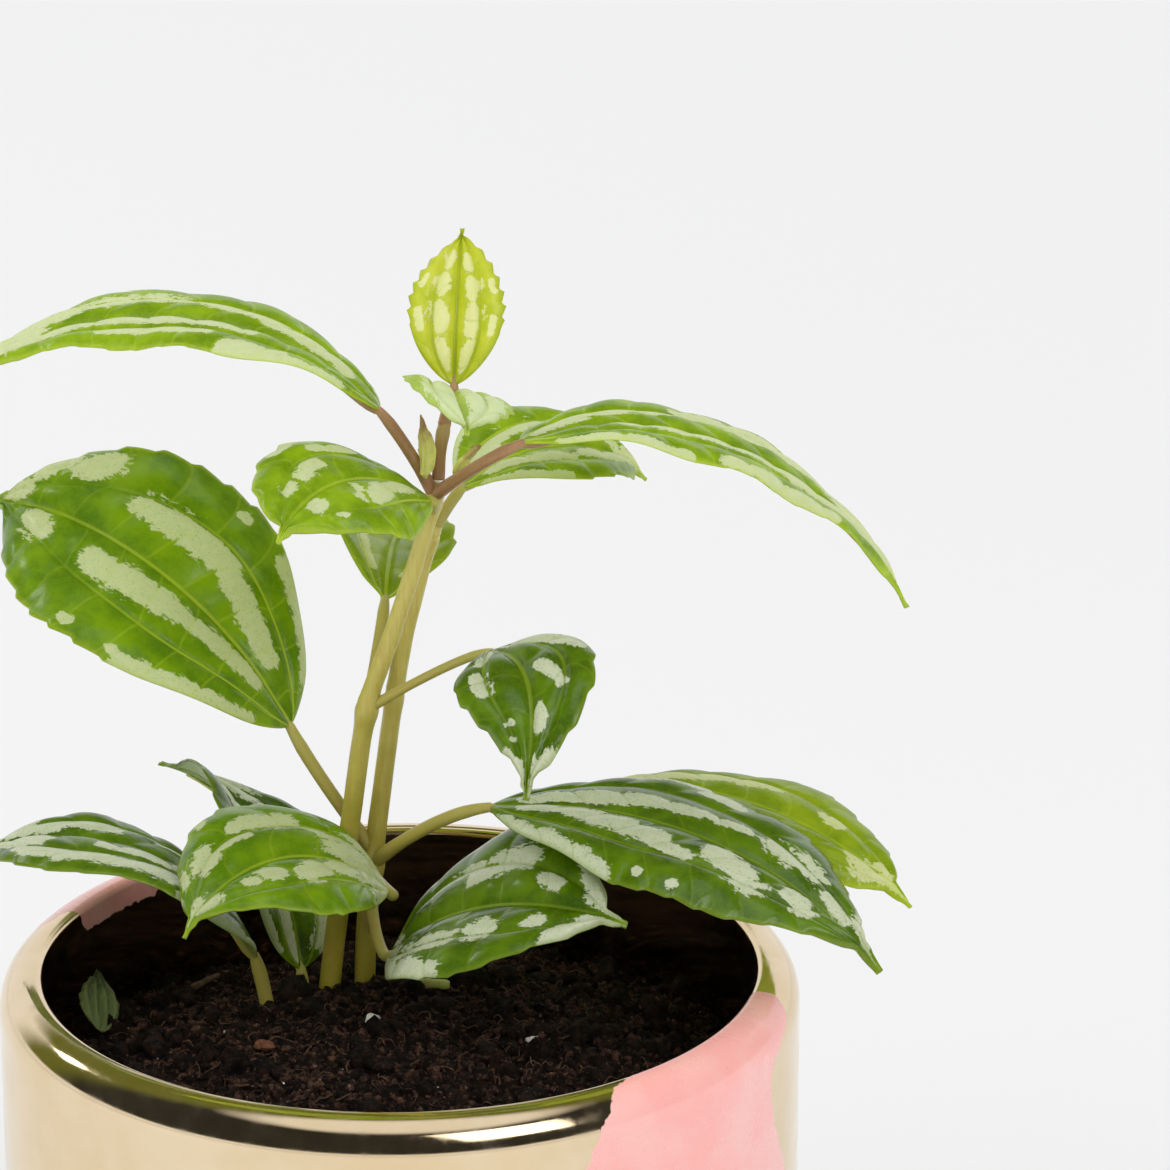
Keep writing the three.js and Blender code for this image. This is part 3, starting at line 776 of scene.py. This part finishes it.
# Silver patches, each a stroke along the blade: (from u, to u, from v, to v, half width), all in
# per cent. u runs from base to tip, v from -100 to 100 across, and the half width is a share of
# half the blade.
MARGIN = both((6, 32, 95, 95, 9))
SILVER = {
    "usual": MARGIN + both((14, 50, 20, 36, 12), (56, 63, 30, 36, 13),
                           (74, 79, 30, 32, 11), (50, 51, 85, 85, 6)),
    "leaf_large_left": [
        (13, 35, -20, -24, 10), (35, 57, -26, -31, 15), (74, 79, -32, -28, 15), (15, 36, 20, 38, 12),
        (36, 57, 40, 40, 16), (70, 74, 68, 66, 17), (80, 84, 82, 78, 12), (88, 91, 30, 34, 16),
        (8, 27, 95, 95, 12), (8, 34, -97, -95, 10), (40, 42, 83, 83, 6), (27, 29, 84, 86, 7),
        (49, 51, -88, -88, 6), (37, 38, -90, -90, 5),
    ],
    "leaf_low_right_front": [
        (8, 20, 16, 25, 10), (20, 42, 27, 36, 15), (42, 50, 40, 47, 10), (56, 67, 24, 48, 19),
        (75, 80, 26, 45, 13), (80, 86, -25, -10, 11), (8, 45, -14, -26, 10), (45, 56, -27, -30, 7),
        (62, 73, -36, -42, 16), (15, 45, -90, -88, 10), (42, 50, -72, -70, 8), (5, 33, 97, 96, 13),
        (42, 43, 84, 84, 6), (52, 53, 88, 88, 6), (90, 97, -60, 0, 20),
    ],
    "leaf_low_front_right": [
        (40, 58, -38, -56, 17), (20, 40, -50, -50, 8), (68, 72, -36, -32, 12), (12, 40, -93, -93, 10),
        (22, 44, 60, 50, 14), (53, 57, 45, 45, 16), (71, 74, 42, 40, 10), (0, 42, 96, 96, 20),
        (0, 12, 30, 70, 30), (84, 95, -80, -50, 22), (84, 97, 85, 70, 20),
    ],
    "leaf_low_front_left": [
        (20, 38, 32, 50, 8), (38, 54, 53, 58, 14), (54, 63, 42, 48, 8), (69, 73, 52, 50, 17),
        (80, 81, 78, 78, 9), (60, 61, 95, 95, 7), (20, 30, -24, -28, 15), (38, 46, -30, -42, 20),
        (58, 61, -30, -30, 15), (68, 70, -32, -30, 9), (84, 93, -20, 10, 15), (0, 13, -20, 0, 60),
        (5, 20, 95, 95, 10),
    ],
    "leaf_upper_front": [
        (54, 62, 36, 32, 15), (71, 74, 36, 40, 13), (30, 44, 62, 66, 10), (74, 77, -26, -30, 14),
        (50, 53, -22, -40, 12), (34, 44, -30, -42, 19), (16, 30, -20, -27, 14), (71, 72, -62, -62, 8),
        (25, 55, 93, 93, 10),
    ],
    "leaf_middle_right": [
        (32, 46, 62, 62, 16), (37, 50, -25, -52, 13), (61, 69, -16, -18, 14), (65, 66, 44, 44, 11),
        (73, 74, 44, 44, 7), (8, 30, -50, -90, 20), (10, 20, 40, 60, 12), (86, 95, 80, 80, 25),
        (84, 95, -70, -80, 25),
    ],
    "leaf_upper_right": MARGIN + [
        (5, 36, -32, -40, 12), (40, 70, -50, -55, 20), (20, 60, 20, 35, 12), (30, 62, -93, -90, 10),
        (62, 90, 40, 10, 20), (72, 95, -50, -30, 30), (42, 72, 90, 90, 12),
    ],
    "leaf_upper_left": MARGIN + [
        (12, 50, 22, 42, 13), (50, 90, 45, 50, 17), (32, 62, -30, -33, 11), (62, 85, -30, -30, 12),
        (40, 66, -66, -68, 10), (45, 82, 92, 92, 10), (22, 34, -80, -85, 12), (82, 97, 0, 0, 25),
    ],
    "leaf_upper_right_back": MARGIN + both(
        (12, 45, 28, 48, 13), (52, 80, 40, 40, 12)) + [(85, 97, 0, 0, 30)],
    "leaf_upper_back": both((15, 50, 40, 50, 10), (60, 75, 40, 40, 10)),
    "leaf_low_right_back": [
        (12, 50, -20, -36, 12), (12, 50, 20, 36, 12), (66, 70, -30, -30, 10), (80, 84, 10, 10, 10),
        (10, 30, -95, -95, 9), (88, 96, 30, 10, 25),
    ],
    "leaf_soil_left": MARGIN + [
        (25, 55, -30, -36, 10), (30, 50, -72, -72, 14), (50, 75, -72, -68, 14), (55, 70, 30, 36, 15),
        (72, 84, 20, 30, 16), (72, 90, -35, -30, 17), (82, 95, 70, 60, 16), (30, 42, 30, 34, 6),
    ],
    "leaf_soil_back_left": MARGIN + [
        (5, 30, -30, -45, 14), (8, 30, 55, 60, 12), (42, 66, -35, -35, 16), (40, 60, 35, 35, 13),
        (68, 90, 40, 30, 25),
    ],
    "leaf_top_upright": both(
        (10, 22, 34, 40, 20), (32, 44, 36, 42, 24), (54, 62, 38, 42, 22),
        (71, 77, 34, 32, 18), (30, 40, 80, 80, 10), (56, 62, 80, 80, 9)),
    "leaf_top_folded": both((20, 62, 30, 40, 34), (50, 85, 55, 45, 30)),
}


def silver_field(u, v, half, length, patches):
    """1 in the middle of a silver patch, 0.5 on its edge, and less outside."""
    field = np.zeros_like(u)
    widest = half.max()
    for u0, u1, v0, v1, width in np.array(patches, dtype=float).reshape(-1, 5) / 100:
        t = np.clip((u - u0) / max(u1 - u0, 1e-3), 0, 1)
        along = (u - u0 - t * (u1 - u0)) * length
        across = (v - v0 - (v1 - v0) * t) * np.maximum(half, 0.35 * widest)
        edge = width * widest * (0.7 + 0.3 * np.sin(np.pi * (0.15 + 0.7 * t)))
        field = np.maximum(field, 1 - 0.5 * np.hypot(along, across) / edge)
    return field


def petiole_line(leaf, steps=18):
    """Points from the stem or the soil to the blade's base, which it meets in line."""
    if "root" in leaf:
        start = np.array(leaf["root"], dtype=float)
    else:
        start = point_at_height(stem_line(leaf["stem"]), leaf["node"])
    end = np.array(leaf["base"], dtype=float)
    way = direction(leaf["heading"] - leaf["turn"] / 2, leaf["pitch"])
    middle = end - way * np.linalg.norm(end - start) * PETIOLE_SWING
    t = np.linspace(0, 1, steps)[:, None]
    return (1 - t) ** 2 * start + 2 * t * (1 - t) * middle + t ** 2 * end


def on_both_skins(numbers):
    """The same numbers for the upper skin's points and the lower's."""
    return np.tile(numbers.ravel(), 2)


def blade(leaf, patches, seed, depth, wave, tooth_pitch):
    """The blade's upper and lower skins with their relief, as points, faces and values."""
    rows = int(max(leaf["length"] / 0.42, 90)) + 1
    columns = int(max(leaf["width"] / 0.5, 44)) // 2 * 2 + 1
    line = midrib(leaf, rows - 1)
    across, normal = frames_along(line, leaf["roll"], leaf["twist"])
    u, v = np.meshgrid(np.linspace(0, 1, rows), np.linspace(-1, 1, columns), indexing="ij")
    outline = half_width(u, leaf.get("belly", BELLY), leaf.get("taper", TAPER))
    half = np.maximum(leaf["width"] / 2 * outline, NARROWEST_HALF_BLADE)
    reach = half * v
    notch = teeth(u, leaf["length"], seed + 0.37 * (v > 0), depth, tooth_pitch)
    reach = reach + np.sign(v) * notch * np.abs(v) ** 6
    bend = leaf["fold"] * (np.sqrt(v * v + 0.004) - 0.063) - leaf["curl"] * v * v
    relief, near, to_lateral, rungs = vein_relief(u, v, half, leaf["length"], seed)
    ripple = wave * v * v * np.sin(u * 2 * np.pi * leaf["length"] / BLADE_WAVE_PITCH + seed * 5
                                   + 1.3 * v)
    lift = half * bend + (relief + ripple) * smooth_step(0, 0.08, u)
    thick = BLADE_THICKNESS * (1 - 0.6 * np.abs(v) ** 4) / 2
    skins = []
    for side in (1, -1):
        height = lift + side * thick
        skins.append(line[:, None] + across[:, None] * reach[..., None]
                     + normal[:, None] * height[..., None])
    points = np.vstack([skin.reshape(-1, 3) for skin in skins])
    count = rows * columns
    upper = grid_faces(rows, columns)
    lower = grid_faces(rows, columns, start=count)[:, ::-1]
    border = ([i * columns for i in range(rows)]
              + [(rows - 1) * columns + j for j in range(1, columns)]
              + [i * columns + columns - 1 for i in range(rows - 2, -1, -1)]
              + list(range(columns - 2, 0, -1)))
    rim = [[a, b, b + count, a + count] for a, b in zip(border, border[1:] + border[:1])]
    faces = [list(f) for f in upper] + [list(f) for f in lower] + rim
    silver = silver_field(u, v, half, leaf["length"], patches) - 0.5 * near
    rim_mm = (1 - np.abs(v)) * half
    edge = np.exp(-(rim_mm / 0.5) ** 2)
    flat = np.stack([u * leaf["length"], reach, np.full_like(u, seed * 31.7)], axis=2)
    values = {"silver": silver, "edge": edge, "along": u, "lateral": to_lateral, "rungs": rungs}
    values = {key: on_both_skins(numbers) for key, numbers in values.items()}
    values["under"] = np.repeat([0.0, 1.0], count)
    values["flat"] = np.tile(flat.reshape(-1, 3), (2, 1))
    return points, faces, values, (line, normal)


def build_leaf(name, piece, look, stalk_look, seed, slot):
    """A blade with its petiole, which runs on under the blade as the midrib."""
    leaf = LEAVES[name]
    tooth_pitch = YOUNG_TOOTH_PITCH if slot == "young_leaf" else TOOTH_PITCH
    points, faces, values, (line, normal) = blade(leaf, SILVER.get(name, SILVER["usual"]), seed,
                                                  TOOTH_DEPTH, BLADE_WAVE, tooth_pitch)
    stalk = petiole_line(leaf)
    under = slice(1, int(len(line) * 0.9), 3)
    rib_radii = np.linspace(leaf["stalk"] * 0.7, 0.15, len(line[under]))
    travelled = np.linalg.norm(line[under] - line[0], axis=1)
    sunk = (0.5 + 0.8 * rib_radii) * (1 - np.exp(-travelled / 1.5))
    path = np.vstack([stalk, line[under] - normal[under] * sunk[:, None]])
    radii = np.concatenate([np.full(len(stalk), leaf["stalk"]), rib_radii])
    radii[:JOINT_RINGS] *= np.linspace(1.25, 1, JOINT_RINGS)
    radii[len(stalk) - JOINT_RINGS:len(stalk)] *= np.linspace(1, 0.75, JOINT_RINGS)
    tube_points, tube_faces, tube_values = tube(path, radii, sides=14)
    count = len(tube_points)
    blank = {key: np.zeros((count, 3) if key == "flat" else count) for key in values}
    blank["along"] = tube_values["along"]
    all_points, all_faces, all_values = joined([(points, faces, values),
                                                (tube_points, tube_faces, blank)])
    made = make_piece(piece, all_points, all_faces, look, [name], all_values)
    made.data.materials.append(stalk_look)
    numbers = np.zeros(len(made.data.polygons), dtype=np.int32)
    numbers[len(faces):] = 1
    made.data.polygons.foreach_set("material_index", numbers)


def scale_look(name, fresh, dry):
    """A thin scale that dries from its tip, with fine lengthwise ribs."""
    look = Look(name, Roughness=0.6)
    flat = look.vector("flat")
    drift = look.plus(look.value("along"), look.centred(look.noise(1.2, flat), 0.8))
    ribs = look.noise(0.5, look.node("Mapping", Vector=flat, Scale=(0.2, 2.0, 1.0)).outputs[0])
    body = look.mix(look.step(drift, 0.5, 1.05), fresh, dry)
    body = look.mix(look.step(ribs, 0.45, 0.7, 0.0, 0.35), body, dry)
    look.set(Base_Color=body, Normal=look.bump(ribs, 0.15, 0.7))
    thin_shine_through(look, body, 0.3, GREEN_SHINE)
    return look.material


def build_scale(name, piece, look, forked):
    """A small dry blade, cleft and crumpled towards its tip."""
    scale = SCALES[name]
    points, faces, values, (line, normal) = blade(scale, [], 1.7, SCALE_TOOTH_DEPTH, SCALE_WAVE,
                                                  YOUNG_TOOTH_PITCH)
    along = values["along"]
    cleft = forked * smooth_step(0.7, 1.0, along) * np.sin(values["flat"][:, 1] * 4)
    crumple = 0.25 * noise_at(points, 1.6, 5) * smooth_step(0.1, 0.6, along)
    points = points + unit(line[-1] - line[0]) * (0.5 * cleft)[:, None] + np.mean(
        normal, axis=0) * crumple[:, None]
    make_piece(piece, points, faces, look, [name], values)


def on_soil(at, above):
    """The point that far above the soil at (x, y)."""
    x, y = at
    return np.array([x, y, float(soil_height(x, y)) + above])


def build_lump(name, piece, bit, look, flatness):
    """A broken lump lying on the soil."""
    points, faces = icosphere(4)
    facets = noise_at(points, 0.8, 2) * 0.22 + noise_at(points, 0.3, 6) * 0.07
    points = points * (1 + facets)[:, None] * flatness * bit["radius"]
    place = on_soil(bit["at"], bit["radius"] * flatness[2] + GAP)
    make_piece(piece, points + place, faces, look, [name])


def build_stick(name, piece, bit, look):
    """A dead stick lying on the soil, bent a little, with broken ends."""
    above = bit["radius"] + GAP
    t = np.linspace(0, 1, 24)[:, None]
    line = on_soil(bit["start"], above) * (1 - t) + on_soil(bit["end"], above) * t
    line[:, 2] += 0.35 * bit["radius"] * np.sin(t[:, 0] * np.pi)
    radii = bit["radius"] * (1 - 0.25 * t[:, 0] + 0.08 * np.sin(t[:, 0] * 17))
    points, faces, values = tube(line, radii, sides=14)
    points = points + 0.06 * noise_at(points, 0.7, 4)[:, None]
    make_piece(piece, points, faces, look, [name], values)


# ---------------- the plant

# The pale spots of both soils and the crumbs' paler browns are partly painted glints, not only grain
# colour.
soil_dark = soil_look("soil", colour(14, 8, 5), colour(50, 33, 24), colour(110, 76, 64))
crumb_look = soil_look("soil_crumb", colour(26, 16, 11), colour(102, 71, 54), colour(166, 126, 112))
fibre_look = plain_bit_look("fibre", colour(104, 76, 54), colour(58, 40, 28))
perlite_look = plain_bit_look("perlite", colour(226, 222, 212), colour(180, 172, 160))
bark_look = plain_bit_look("bark", colour(120, 72, 44), colour(70, 40, 24))
root_look = plain_bit_look("root", colour(150, 124, 88), colour(108, 84, 56))
stem_green = stem_look("stem_green", colour(156, 148, 36), colour(204, 192, 102),
                       colour(176, 138, 76))
stalk_olive = stem_look("stalk_olive", colour(168, 158, 70), colour(180, 194, 92),
                        colour(184, 152, 98))
stalk_brown = stem_look("stalk_brown", colour(166, 126, 86), colour(176, 156, 90),
                        colour(150, 104, 72))

# Each leaf look: its deep and fresh green, silver, underside and vein, its roughness and glow, and
# the leaves that have it. The shaded, sunlit and lit-through looks are copies of one leaf look with
# painted shade or painted light: darker or brighter greens, and less or more glow.
LEAF_LOOKS = {
    "full_grown": (((82, 122, 0), (128, 164, 6), (204, 210, 168), (150, 174, 80), (184, 204, 60)),
                   0.26, 0.35, ("large_left", "low_front_left")),
    # Painted shade: darker greens and less glow for the leaves low down and under others.
    "shaded": (((56, 88, 0), (100, 134, 4), (208, 213, 186), (140, 166, 80), (140, 164, 36)),
               0.24, 0.25, ("low_right_front", "low_front_right", "middle_right", "soil_left",
                            "soil_back_left")),
    # Painted light: brighter greens and more glow for the upper leaves in full light.
    "sunlit": (((106, 141, 2), (152, 184, 26), (212, 216, 194), (168, 190, 90), (196, 214, 80)),
               0.28, 0.44, ("upper_front", "upper_left", "upper_right", "upper_right_back")),
    # Painted light: the brightest greens and most glow, for the leaves lit from behind.
    "lit_through": (((112, 144, 2), (150, 174, 20), (210, 214, 184), (160, 178, 60),
                     (190, 210, 70)), 0.3, 0.5, ("upper_back", "low_right_back")),
    "young": (((172, 188, 20), (196, 206, 60), (220, 222, 168), (196, 208, 90), (154, 174, 20)),
              0.4, 0.3, ("top_upright",)),
    "youngest": (((156, 184, 80), (184, 206, 112), (212, 221, 186), (184, 204, 116),
                  (176, 196, 86)), 0.4, 0.3, ("top_folded",)),
}
BROWN_STALKS = ("leaf_upper_left", "leaf_upper_right", "leaf_top_upright", "leaf_top_folded")

build_pot()
build_soil(soil_dark)
scatter_crumbs("soil_clods", 650, 0.6, 2.2, 2, soil_dark)
scatter_crumbs("soil_crumbs", 9000, 0.16, 0.8, 1, crumb_look, power=1.8)
scatter_crumbs("soil_perlite_grains", 60, 0.12, 0.42, 1, perlite_look)
scatter_fibres("soil_fibres", 420, fibre_look)

for name, (piece, foot, top, nodes) in STEM_SHAPES.items():
    build_stem(name, piece, foot, top, nodes, stalk_brown if name == "shoot" else stem_green)

look_of = {}
for look_name, (shades, rough, glow, leaves) in LEAF_LOOKS.items():
    look = leaf_look("leaf_" + look_name, shades, rough, glow)
    look_of.update({"leaf_" + leaf: look for leaf in leaves})
for number, name in enumerate(LEAVES):
    build_leaf(name, name.replace("leaf_", "foliage_"), look_of[name],
               stalk_brown if name in BROWN_STALKS else stalk_olive, number * 0.61,
               "young_leaf" if LEAVES[name].get("stem") == "shoot" else "leaf")

papery = scale_look("papery_scale", colour(208, 216, 140), colour(176, 152, 104))
withered = scale_look("withered_leaf", colour(118, 132, 78), colour(74, 84, 50))
build_scale("stipule_left", "scale_left", papery, forked=1.6)
build_scale("stipule_right", "scale_right", papery, forked=0.8)
build_scale("leaf_scrap", "withered_scrap", withered, forked=1.2)
build_lump("perlite_chunk", "perlite_lump", PERLITE, perlite_look, (1, 0.8, 0.8))
build_lump("bark_chip", "bark_lump", BARK, bark_look, (1, 0.75, 0.45))
build_stick("twig", "dead_twig", TWIG, fibre_look)
build_stick("pale_stick", "pale_splinter", PALE_STICK, perlite_look)
build_stick("old_stalk", "stalk_stub", OLD_STALK, stalk_olive)
for name in ("roots_a", "roots_b"):
    for material_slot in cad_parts[name].material_slots:
        material_slot.material = root_look

# ---------------- floor, light and camera

# The floor's half width in metres, and how its white changes over that many millimetres: painted
# shade, darker near the pot where the lamps light it more.
FLOOR_REACH = 4.0
FLOOR_FADE = 1500.0
FLOOR_WHITE_NEAR = 0.815
FLOOR_WHITE_FAR = 0.925

# The room that shiny things reflect, by the direction that a ray goes: each is where a smooth step
# starts and ends, in the ray's y or z
TABLE_EDGE_Z = (0.03, 0.10)
TOP_LIGHT_Z = (0.96, 0.88)
BACKDROP_Y = (0.72, 0.52)
BACKDROP_TOP_Z = (0.42, 0.55)
OLIVE_ROOM_Y = (0.1, 0.4)
DARK_ROOM = (0.03, 0.028, 0.025)
OLIVE_ROOM = (0.15, 0.17, 0.035)
WHITE_SKY = (0.92, 0.92, 0.93)

CAMERA_PLACE = (0.027745, -0.738027, 0.425081)
CAMERA_TILT = 70.9005
CAMERA_LENS = 164.1
LIGHT_TARGET = (0, 0, 0.12)


def build_floor():
    """A white floor with painted shade: a little darker close to the pot, where the lamps light it
    more.
    """
    mesh = bpy.data.meshes.new("floor")
    corners = [(x * FLOOR_REACH, y * FLOOR_REACH, 0) for x, y in ((-1, -1), (1, -1), (1, 1), (-1, 1))]
    mesh.from_pydata(corners, [], [(0, 1, 2, 3)])
    look = Look("floor_white", Roughness=0.6, Specular_IOR_Level=0.2)
    distance = look.node("VectorMath", {"operation": "LENGTH"}, Vector=look.place()).outputs["Value"]
    look.set(Base_Color=look.step(distance, 0.0, FLOOR_FADE, FLOOR_WHITE_NEAR, FLOOR_WHITE_FAR))
    mesh.materials.append(look.material)
    floor = bpy.data.objects.new("floor", mesh)
    bpy.context.scene.collection.objects.link(floor)


def build_world():
    """White all round for soft light; what shines sees a dark room above the table's edge."""
    world = bpy.data.worlds.new("studio")
    bpy.context.scene.world = world
    world.use_nodes = True
    sky = Nodes(world.node_tree)
    way = sky.node("SeparateXYZ", Vector=sky.node("TexCoord").outputs["Generated"]).outputs
    in_room = sky.times(sky.step(way["Z"], *TABLE_EDGE_Z), sky.step(way["Z"], *TOP_LIGHT_Z))
    clear_of_backdrop = sky.math("MAXIMUM", sky.step(way["Y"], *BACKDROP_Y),
                                 sky.step(way["Z"], *BACKDROP_TOP_Z))
    seen_in_gloss = sky.times(sky.times(in_room, clear_of_backdrop),
                              sky.node("LightPath").outputs["Is Glossy Ray"])
    room = sky.mix(sky.step(way["Y"], *OLIVE_ROOM_Y), DARK_ROOM, OLIVE_ROOM)
    sky.put(sky.nodes["Background"].inputs["Color"], sky.mix(seen_in_gloss, WHITE_SKY, room))


def add_light(name, place, size, power, seen_in_gloss=True):
    """A softbox that looks at the plant."""
    lamp = bpy.data.lights.new(name, "AREA")
    lamp.shape = "RECTANGLE"
    lamp.size, lamp.size_y = size
    lamp.energy = power
    holder = bpy.data.objects.new(name, lamp)
    holder.location = place
    to_plant = Vector(LIGHT_TARGET) - Vector(place)
    holder.rotation_euler = to_plant.to_track_quat("-Z", "Y").to_euler()
    holder.visible_glossy = seen_in_gloss
    bpy.context.scene.collection.objects.link(holder)


def build_camera():
    lens = bpy.data.cameras.new("camera")
    lens.lens = CAMERA_LENS
    lens.sensor_width = 36
    lens.clip_end = 20
    camera = bpy.data.objects.new("camera", lens)
    camera.location = CAMERA_PLACE
    camera.rotation_euler = (math.radians(CAMERA_TILT), 0, 0)
    bpy.context.scene.collection.objects.link(camera)
    bpy.context.scene.camera = camera


build_floor()
build_world()
add_light("softbox_left", (-0.9, -0.5, 1.1), (0.8, 0.8), 4, seen_in_gloss=False)
add_light("softbox_front", (0.6, -0.8, 1.1), (0.7, 0.7), 4)
add_light("lamp_far_left", (-0.95, 0.65, 0.9), (0.2, 0.2), 0.6)
build_camera()
bpy.context.scene.view_settings.view_transform = "Standard"
